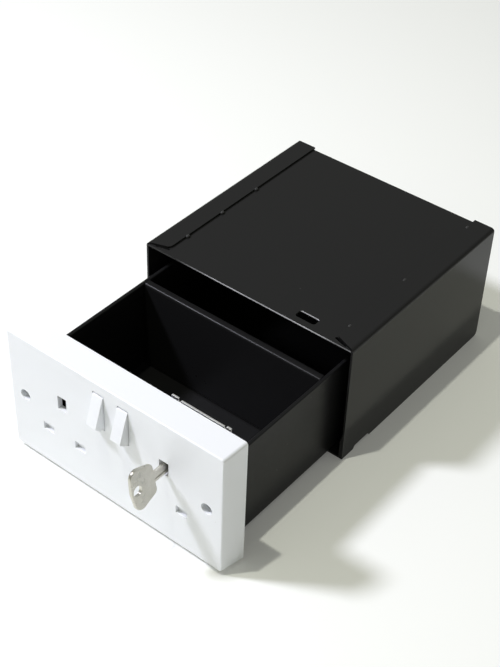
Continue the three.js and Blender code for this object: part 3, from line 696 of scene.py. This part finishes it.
def moulded(name, colour, clouding, dust, rough, rough_more):
    """White plastic: a faint moulded skin, slight clouding, fine scuffs and a little dust."""
    finish, tree, shader = new_material(name)
    cloud = use_group(tree, grain, fine=180, coarse=22, share=0.8)
    skin = use_group(tree, grain, fine=1500, coarse=320, share=0.4)
    dots = use_group(tree, specks, cells=160, size=0.035, share=0.05)
    bump = add_node(tree, "Bump", {"Strength": 0.05, "Distance": 0.03 * MM, "Height": skin})
    shaded = tuple(level * clouding for level in colour[:3]) + (1,)
    tinted = blended(tree, stretched(tree, cloud, 0.35, 0.65), shaded, colour)
    wire(tree, shader, {
        "Base Color": blended(tree, dots, tinted, dust),
        "Roughness": stretched(tree, cloud, 0.3, 0.7, rough, rough + rough_more),
        "Normal": bump.outputs[0],
        "IOR": 1.5,
    })
    return finish


white_plastic = moulded("white_plastic", colour=(0.835, 0.85, 0.87, 1), clouding=0.993,
                        dust=(0.55, 0.54, 0.5, 1), rough=0.28, rough_more=0.04)

face_low = plate_low + Vector((plate_flare, 0, plate_flare))
face_high = plate_high - Vector((plate_flare, 0, plate_flare))
plate = rounded_block("socket_moulding", face_low, face_high, Y, plate_corner, steps=10)
round_edges(plate, plate_edge, every(lambda p: p.y < plate_front + tiny), steps=8)
# The moulding widens towards its back, around its middle, which is as high as the screws
pick(plate, "EDGE", every(lambda p: p.y > plate_high.y - tiny))
bpy.ops.transform.resize(
    value=(plate_high.x / face_high.x, 1, (plate_high.z - plate_low.z) / (face_high.z - face_low.z)),
    center_override=(0, plate_high.y, screw_z))
leave_edit()
cavity = rounded_block(
    "cavity", (face_low.x + side_wall, plate_front + front_wall, face_low.z + side_wall),
    (face_high.x - side_wall, plate_high.y + sheet, face_high.z - side_wall), Y, moulded_rim)
carve(plate, cavity)
well_half = rocker_well_width / 2
wall_half = well_half + rocker_well_wall
well_top = rocker_z + rocker_well_height / 2
well_foot = rocker_z - rocker_well_height / 2
boss_back = plate_high.y - screw_boss_setback
for side in (-1, 1):
    x = side * rocker_x
    walls = block("well_walls", (x - wall_half, plate_front + front_wall / 2, well_foot - rocker_well_wall),
                  (x + wall_half, plate_front + rocker_well_depth + rocker_well_wall,
                   well_top + rocker_well_wall))
    carve(plate, walls, "UNION")
    open_front("well", x, rocker_z, rocker_well_width, rocker_well_height, rocker_well_depth)
    for end in (-1, 1):
        root = (x + end * (well_half + half_sheet), pivot_y, rocker_z)
        tip = (x + end * (well_half - pivot_length), pivot_y, rocker_z)
        carve(plate, rod("trunnion", root, tip, pivot_radius, sides=32), "UNION")

    x = side * screw_x
    boss = rod_inwards("boss", x, screw_z, plate_front + front_wall / 2, boss_back,
                       screw_well_radius + screw_boss_wall)
    carve(plate, boss, "UNION")
    carve(plate, rod_inwards("screw_well", x, screw_z, plate_front - sheet,
                             plate_front + screw_well_depth, screw_well_radius))
    carve(plate, rod_inwards("shank_hole", x, screw_z, plate_front, plate_high.y,
                             screw_shank_radius + fit_gap, sides=32))

    x = side * lock_x
    open_front("earth_slot", x, lock_z, earth_slot_width, earth_slot_height, front_wall + sheet)
    for end in (-1, 1):
        open_front("pin_slot", x + end * pin_slot_offset, pin_slot_z,
                   pin_slot_width, pin_slot_height, pin_slot_depth)
soften(plate, moulded_rim, steps=3)
fit(plate, white_plastic, "white_plastic", "drawer", "socket_plate")


# Rockers
# Two dummy switch rockers in the plate's white plastic, side by side in the middle. Each has a
# flat face and round ends, rocks on two moulded trunnions and leans in at its foot.
rocker_face_offset = 6.3 * MM
rocker_half_face = 9.1 * MM
rocker_back_offset = 2.7 * MM
rocker_lean = math.radians(-19.4)
rocker_edge = 0.45 * MM


def cut_flat(piece, point, outwards):
    """Cuts a closed piece off flat at a point and drops what lies outwards of it."""
    pick_all(piece)
    bpy.ops.mesh.bisect(plane_co=point, plane_no=outwards, use_fill=True, clear_outer=True)
    leave_edit()


rocker_half = well_half - fit_gap
rocker_radius = math.hypot(rocker_face_offset, rocker_half_face)
eye_half = well_half - pivot_length - fit_gap
for hand, side in (("left", -1), ("right", 1)):
    rocker = rod(f"{hand}_switch_rocker", (-rocker_half, 0, 0), (rocker_half, 0, 0),
                 rocker_radius, sides=128)
    cut_flat(rocker, (0, -rocker_face_offset, 0), (0, -1, 0))
    cut_flat(rocker, (0, rocker_back_offset, 0), (0, 1, 0))
    for end in (-1, 1):
        carve(rocker, rod("eye", (end * eye_half, 0, 0), (end * (rocker_half + sheet), 0, 0),
                          pivot_radius + fit_gap, sides=32))
    rocker.rotation_euler.x = rocker_lean
    rocker.location = (side * rocker_x, pivot_y, rocker_z)
    settle(rocker, rocker.name)
    soften(rocker, rocker_edge, steps=4, slivers=True)
    fit(rocker, white_plastic, "white_plastic", f"{hand}_switch", f"{hand}_rocker")


# Plate screws
# Two zinc-plated slotted screws at the bottom of the plate's round wells hold the moulding to
# the steel carrier behind it.
screw_head_height = 2.2 * MM
screw_slot_width = 1 * MM
screw_slot_depth = 1 * MM
screw_edge = 0.5 * MM
machined_edge = 0.12 * MM
rubbed_gain = 1.15

# Scratches: thin lines of stretched noise, each set turned its own way
scratches, given, result = new_group("scratches", {"scale": 60, "turn": 0.4, "amount": 0.5})
place = add_node(scratches, "TexCoord", {})
turned = add_node(scratches, "CombineXYZ", {0: given["turn"], 1: given["turn"], 2: given["turn"]})
drawn = add_node(scratches, "Mapping", {
    "Vector": place.outputs["Object"], "Rotation": turned.outputs[0], "Scale": (1.0, 14.0, 14.0)})
lines = add_node(scratches, "TexNoise", {
    "Vector": drawn.outputs[0], "Scale": given["scale"], "Detail": 5, "Roughness": 0.75})
thin = reckon(scratches, "ABSOLUTE", reckon(scratches, "SUBTRACT", lines.outputs[0], 0.5))
cut = reckon(scratches, "MULTIPLY", stretched(scratches, thin, 0.012, 0.0), given["amount"])
wire(scratches, result, {0: cut})


def plated(name, colour, tarnish, rough, rough_more, scratch):
    """Plated or machined metal: clouded plating, fine scratches and rubbed edges."""
    finish, tree, shader = new_material(name)
    cloud = use_group(tree, grain, fine=300, coarse=45, share=0.65)
    first = use_group(tree, scratches, scale=90, turn=0.5, amount=scratch)
    second = use_group(tree, scratches, scale=130, turn=2.1, amount=scratch)
    cuts = reckon(tree, "MAXIMUM", first, second)
    wear = use_group(tree, edge_wear, radius=0.2 * MM, start=0.02, patches=500)
    tone = blended(tree, stretched(tree, cloud, 0.35, 0.65), tarnish, colour)
    bright = tuple(min(1, level * rubbed_gain) for level in colour[:3]) + (1,)
    skin = reckon(tree, "SUBTRACT", use_group(tree, grain, fine=1800, coarse=250, share=0.5), cuts)
    bump = add_node(tree, "Bump", {"Strength": 0.1, "Distance": 0.02 * MM, "Height": skin})
    wire(tree, shader, {
        "Base Color": blended(tree, reckon(tree, "MAXIMUM", wear, cuts), tone, bright),
        "Metallic": 1.0,
        "Roughness": stretched(tree, cloud, 0.3, 0.7, rough, rough + rough_more),
        "Normal": bump.outputs[0],
    })
    return finish


zinc_plate = plated("zinc_plate", colour=(0.66, 0.67, 0.69, 1), tarnish=(0.5, 0.51, 0.52, 1),
                    rough=0.26, rough_more=0.16, scratch=0.5)

for hand, side in (("left", -1), ("right", 1)):
    low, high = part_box(f"{hand}_plate_screw")
    x = side * screw_x
    head_back = low.y + screw_head_height
    screw = rod_inwards(f"{hand}_fixing_screw", x, screw_z, low.y, head_back,
                        screw_well_radius - fit_gap, sides=48)
    round_edges(screw, screw_edge, every(lambda p: p.y < low.y + tiny), steps=4)
    carve(screw, rod_inwards("shank", x, screw_z, head_back - half_sheet, high.y,
                             screw_shank_radius, sides=32), "UNION")
    carve(screw, block("driver_slot",
                       (x - screw_well_radius, low.y - sheet, screw_z - screw_slot_width / 2),
                       (x + screw_well_radius, low.y + screw_slot_depth, screw_z + screw_slot_width / 2)))
    soften(screw, machined_edge)
    fit(screw, zinc_plate, "zinc_plate", "drawer", f"{hand}_plate_screw")


# Carrier plate
# A flat steel plate in the moulding's open back, with the same satin black coat as the drawer.
# The moulding, the lock, its guard and the drawer are all fixed to it.
carrier_low, carrier_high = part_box("carrier_plate")
carrier_corner = 1.5 * MM
barrel_thread_radius = 7.7 * MM
barrel_flat = 7 * MM
rivet_offset = 12 * MM
rivet_z = 32.4 * MM
rivet_radius = 1.5 * MM

drawer_coat = powder_coat("drawer_coat", colour=(0.0105, 0.0105, 0.0108, 1), worn=(0.05, 0.05, 0.05, 1),
                          dust=(0.04, 0.04, 0.038, 1), rough=0.26, rough_more=0.12, peel=0.12)


def pierce(piece, name, x, z, radius, low, high):
    """Drills a hole along Y through a piece that stands between two depths."""
    carve(piece, rod_inwards(name, x, z, low - sheet, high + sheet, radius, sides=32))


carrier = rounded_block("carrier_sheet", carrier_low, carrier_high, Y, carrier_corner)
for side in (-1, 1):
    pierce(carrier, "screw_hole", side * screw_x, screw_z, screw_shank_radius + fit_gap,
           carrier_low.y, carrier_high.y)
    pierce(carrier, "rivet_hole", lock_x + side * rivet_offset, rivet_z, rivet_radius + fit_gap,
           carrier_low.y, carrier_high.y)
barrel_hole = rod_inwards("barrel_hole", lock_x, lock_z, carrier_low.y - sheet,
                          carrier_high.y + sheet, barrel_thread_radius + fit_gap)
hole_flat = barrel_flat + fit_gap
cut_flat(barrel_hole, (0, 0, lock_z + hole_flat), (0, 0, 1))
cut_flat(barrel_hole, (0, 0, lock_z - hole_flat), (0, 0, -1))
carve(carrier, barrel_hole)
soften(carrier, machined_edge)
fit(carrier, drawer_coat, "drawer_coat", "drawer", "carrier_plate")


# Drawer channel
# Floor and both side walls are folded from one 1.2 mm sheet, and each wall's top edge is
# hemmed flat to its inside. Satin black coat, rubbed a little along the hems.
channel_low, channel_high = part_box("drawer_channel")
drawer_bend = 3 * MM
hem_height = 6.5 * MM
hem_round = 0.9 * MM

wall_middle = channel_high.x - half_sheet
floor_middle = channel_low.z + half_sheet
hem_inside = channel_high.x - 2 * sheet
channel = flat_sheet("drawer_sheet", (0, (channel_low.y + channel_high.y) / 2, floor_middle),
                     channel_high.x - channel_low.x - sheet, channel_high.y - channel_low.y)
fold_out(channel, lambda ends: along(Y)(ends) and abs(ends[0].x) > wall_middle - tiny,
         (0, 0, channel_high.z - floor_middle))
round_edges(channel, drawer_bend - half_sheet,
            lambda ends: along(Y)(ends) and ends[0].z < floor_middle + tiny)
thicken(channel)
for side in (-1, 1):
    hem = block("hem", (side * hem_inside, channel_low.y, channel_high.z - hem_height),
                (side * wall_middle, channel_high.y, channel_high.z))
    carve(channel, hem, "UNION")
round_edges(channel, hem_round, lambda ends: (
    along(Y)(ends) and ends[0].z > channel_high.z - tiny
    and min(abs(abs(ends[0].x) - channel_high.x), abs(abs(ends[0].x) - hem_inside)) < tiny), steps=5)
soften(channel, coat_edge)
fit(channel, drawer_coat, "drawer_coat", "drawer", "drawer_channel")


# Divider and rear wall
# Two cross walls of the same sheet stand on folded feet between the drawer's sides, stepped in
# under the hems. The divider's top edge is folded back, and the rear wall's is plain.
divider_low, divider_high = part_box("divider")
rear_low, rear_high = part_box("rear_wall")
divider_top_flange = 4.2 * MM
cross_bend = 0.9 * MM
foot_clear = 1.8 * MM


def cross_wall(name, node, y, foot_y, top_y):
    """A cross wall on a folded foot that reaches to foot_y, its top folded back to top_y."""
    low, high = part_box(node)
    foot = low.z + half_sheet
    top = high.z - half_sheet if top_y else high.z
    wall = flat_sheet(name, (0, y, (foot + top) / 2), high.x - low.x, top - foot,
                      turn=(math.pi / 2, 0, 0))
    fold_out(wall, every(lambda p: p.z < foot + tiny), (0, foot_y - y, 0))
    if top_y:
        fold_out(wall, every(lambda p: p.z > top - tiny), (0, top_y - y, 0))
    round_edges(wall, cross_bend, lambda ends: (
        along(X)(ends) and abs(ends[0].y - y) < tiny
        and (ends[0].z < foot + tiny or (top_y and ends[0].z > top - tiny))), steps=5)
    thicken(wall)
    under_hem = channel_high.z - hem_height - fit_gap
    over_floor = low.z + foot_clear
    for side in (-1, 1):
        for z0, z1, x_in in ((under_hem, high.z + sheet, hem_inside),
                             (low.z - sheet, over_floor, high.x - foot_clear)):
            carve(wall, block("corner", (side * x_in, low.y - sheet, z0),
                              (side * (high.x + sheet), high.y + sheet, z1)))
    soften(wall, coat_edge)
    fit(wall, drawer_coat, "drawer_coat", "drawer", node)


cross_wall("divider_sheet", "divider", divider_low.y + half_sheet, divider_high.y,
           divider_low.y + divider_top_flange)
cross_wall("rear_sheet", "rear_wall", rear_high.y - half_sheet, rear_low.y, None)


# Lock guard and rivets
# A folded, zinc-plated screen behind the plate keeps the drawer's contents off the turning cam.
# Its foot is riveted to the carrier, and its top edge has a small tab at each end.
guard_low, guard_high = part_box("lock_guard")
guard_shelf = 38 * MM
guard_left_tab = 4.6 * MM
guard_right_tab = 2.7 * MM
guard_end_rise = 0.8 * MM
guard_notch_width = 1.6 * MM
guard_notch_depth = 1.6 * MM
guard_bend = 0.9 * MM
guard_edge = 0.2 * MM
rivet_head_height = 1 * MM
rivet_dome = 0.9 * MM
rivet_head_radius = 2.5 * MM

# Painted highlight: the guard's zinc is paler than the other zinc so that its top reads as brightly lit
painted_guard_sheen = plated("painted_guard_sheen", colour=(0.85, 0.85, 0.86, 1), tarnish=(0.74, 0.74, 0.75, 1),
                    rough=0.42, rough_more=0.12, scratch=0.5)

foot_y = guard_low.y + half_sheet
screen_y = guard_high.y - half_sheet
shelf_z = guard_shelf - half_sheet
guard_middle = (guard_low.x + guard_high.x) / 2
guard = flat_sheet("guard_sheet", (guard_middle, foot_y, (guard_low.z + shelf_z) / 2),
                   guard_high.x - guard_low.x, shelf_z - guard_low.z, turn=(math.pi / 2, 0, 0))
fold_out(guard, every(lambda p: p.z > shelf_z - tiny), (0, screen_y - foot_y, 0))
fold_out(guard, every(lambda p: p.y > screen_y - tiny), (0, 0, guard_high.z - shelf_z))
round_edges(guard, guard_bend, lambda ends: along(X)(ends) and abs(ends[0].z - shelf_z) < tiny,
            steps=5)
thicken(guard)
guard_top = guard_high.z - guard_end_rise
tab_left = guard_low.x + guard_left_tab
tab_right = guard_high.x - guard_right_tab
for x0, x1, z0 in ((tab_left, tab_right, guard_top),
                   (tab_left, tab_left + guard_notch_width, guard_top - guard_notch_depth),
                   (tab_right - guard_notch_width, tab_right, guard_top - guard_notch_depth)):
    carve(guard, block("notch", (x0, screen_y - sheet, z0), (x1, screen_y + sheet, guard_high.z + sheet)))
for side in (-1, 1):
    pierce(guard, "rivet_hole", lock_x + side * rivet_offset, rivet_z, rivet_radius + fit_gap,
           guard_low.y, guard_low.y + sheet)
soften(guard, guard_edge, slivers=True)
fit(guard, painted_guard_sheen, "zinc_plate", "drawer", "lock_guard")

for hand, side in (("left", -1), ("right", 1)):
    low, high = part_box(f"{hand}_guard_rivet")
    x = lock_x + side * rivet_offset
    rivet = rod_inwards(f"{hand}_domed_rivet", x, rivet_z, low.y + half_sheet, high.y - half_sheet,
                        rivet_radius, sides=32)
    for outer, inner in ((low.y, low.y + rivet_head_height), (high.y, high.y - rivet_head_height)):
        head = rod_inwards("rivet_head", x, rivet_z, outer, inner, rivet_head_radius, sides=32)
        round_edges(head, rivet_dome, every(lambda p: abs(p.y - outer) < tiny))
        carve(rivet, head, "UNION")
    soften(rivet, machined_edge, slivers=True)
    fit(rivet, zinc_plate, "zinc_plate", "drawer", f"{hand}_guard_rivet")


# Lock body
# A cam lock stands on the carrier behind the right earth slot. Its barrel has a threaded tail
# with two flats, which goes through the carrier to a hexagon nut. Both are zinc-plated.
barrel_edge = 0.3 * MM
same_spot = tiny / 10
nearly_flat = math.radians(1)


def dress(node, name, finish, slot, body, edge=machined_edge):
    """A copy of a hidden lock part's node with its faces joined and its rims rounded."""
    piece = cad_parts[node].copy()
    piece.data = piece.data.copy()
    piece.parent = None
    piece.name = name
    bpy.context.scene.collection.objects.link(piece)
    pick_all(piece)
    bpy.ops.mesh.remove_doubles(threshold=same_spot)
    bpy.ops.mesh.dissolve_limited(angle_limit=nearly_flat)
    leave_edit()
    soften(piece, edge)
    fit(piece, finish, slot, body, node)


dress("lock_barrel", "cam_lock_barrel", zinc_plate, "zinc_plate", "drawer", edge=barrel_edge)
dress("lock_nut", "cam_lock_nut", zinc_plate, "zinc_plate", "drawer", edge=barrel_edge)


# Lock core
# A brass plug with five brass wafers turns in the barrel, its face painted near-black as painted shade
# inside the slot. A square on its tail drives the zinc-plated cam, which a washer and a slotted screw hold
# in place.
face_rim = 0.2 * MM
wafer_count = 5
wafer_edge = 0.06 * MM
cam_edge = 0.25 * MM

painted_plug_shade = powder_coat("painted_plug_shade", colour=(0.004, 0.004, 0.004, 1), worn=(0.02, 0.02, 0.02, 1),
                         dust=(0.01, 0.01, 0.01, 1), rough=0.45, rough_more=0.1, peel=0.1)
brass = plated("brass", colour=(0.72, 0.55, 0.28, 1), tarnish=(0.5, 0.37, 0.17, 1),
               rough=0.28, rough_more=0.16, scratch=0.4)

dress("lock_plug", "brass_plug", brass, "brass", "lock_core")
plug = bpy.data.objects["brass_plug"]
face_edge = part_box("lock_plug")[0].y + face_rim
# Painted shade: the plug's front face takes the near-black coat so that the slot reads as shaded
finish_faces(plug, painted_plug_shade, lambda p, n: (plug.matrix_world @ p).y < face_edge)
for index in range(1, wafer_count + 1):
    dress(f"lock_wafer_{index}", f"brass_wafer_{index}", brass, "brass", "lock_core", edge=wafer_edge)
dress("cam_washer", "square_washer", zinc_plate, "zinc_plate", "lock_core")
dress("lock_cam", "zinc_cam", zinc_plate, "zinc_plate", "lock_core", edge=cam_edge)
dress("cam_screw", "slotted_cam_screw", zinc_plate, "zinc_plate", "lock_core")


# Key
# A flat key stamped from nickel-plated brass: a broad bow with a ring hole and coined edges,
# and a blade milled along both sides and cut for the wafers on both edges.
key_turn = math.radians(-12)
bow_start = plate_front - 7.5 * MM
bow_thickness = 2 * MM
bow_round = 0.45 * MM
# Half of the bow's outline in millimetres: from its start, from its middle line, corner radius
bow_corners = ((0, 8.5, 2.1), (-10.2, 11.9, 0), (-15.2, 11.9, 4), (-15.7, 7.6, 0), (-16.6, 0, 0))
ring_hole_radius = 2.9 * MM
ring_hole_y = bow_start - 12.3 * MM
blade_thickness = 1.8 * MM
blade_height = 5.4 * MM
blade_tip_y = bow_start + 24.3 * MM
blade_tip_slope = 1 * MM
blade_root_y = bow_start - 2.4 * MM
first_wafer_y = plate_front + 6.4 * MM
wafer_pitch = 2.1 * MM
cut_deep = 0.8 * MM
cut_half = 0.9 * MM
groove_depth = 0.35 * MM
groove_low = -1.4 * MM
groove_high = -0.2 * MM

nickel_plate = plated("nickel_plate", colour=(0.62, 0.6, 0.54, 1), tarnish=(0.5, 0.485, 0.43, 1),
                      rough=0.24, rough_more=0.14, scratch=0.6)

outline = list(bow_corners) + [(y, -z, r) for y, z, r in reversed(bow_corners[:-1])]
bpy.ops.object.select_all(action="DESELECT")
bpy.ops.mesh.primitive_circle_add(vertices=len(outline), radius=bow_thickness, fill_type="NGON")
bow = settle(bpy.context.object, "door_key")
for corner, (y, z, radius) in zip(bow.data.vertices, outline):
    corner.co = (0, bow_start + y * MM, z * MM)
for y, z, radius in outline:
    if radius:
        spot = Vector((0, bow_start + y * MM, z * MM))
        pick(bow, "VERT", every(lambda p: (p - spot).length < tiny))
        bpy.ops.mesh.bevel(offset=radius * MM, segments=10, affect="VERTICES", profile=0.5)
        leave_edit()
thicken(bow, bow_thickness)
round_edges(bow, bow_round, lambda ends: abs(ends[0].x - ends[1].x) < tiny, steps=4)

blade = block("blade", (-blade_thickness / 2, blade_root_y, -blade_height / 2),
              (blade_thickness / 2, blade_tip_y, blade_height / 2))
round_edges(blade, blade_tip_slope,
            lambda ends: along(X)(ends) and ends[0].y > blade_tip_y - tiny, steps=1)
for index in range(wafer_count):
    y = first_wafer_y + index * wafer_pitch
    deep = cut_deep / 2 if index % 2 else cut_deep
    for edge in (-1, 1):
        z = edge * (blade_height / 2 + cut_half - deep)
        carve(blade, rod("cut", (-blade_thickness, y, z), (blade_thickness, y, z), cut_half, sides=24))
for side in (-1, 1):
    blade_side = side * blade_thickness / 2
    carve(blade, block("groove", (blade_side - groove_depth, bow_start, groove_low),
                       (blade_side + groove_depth, blade_tip_y + sheet, groove_high)))
carve(bow, blade, "UNION")
carve(bow, rod("ring_hole", (-bow_thickness, ring_hole_y, 0), (bow_thickness, ring_hole_y, 0),
               ring_hole_radius))
bow.rotation_euler.y = key_turn
bow.location = (lock_x, 0, lock_z)
settle(bow, bow.name)
soften(bow, machined_edge)
fit(bow, nickel_plate, "nickel_plate", "key", "key")
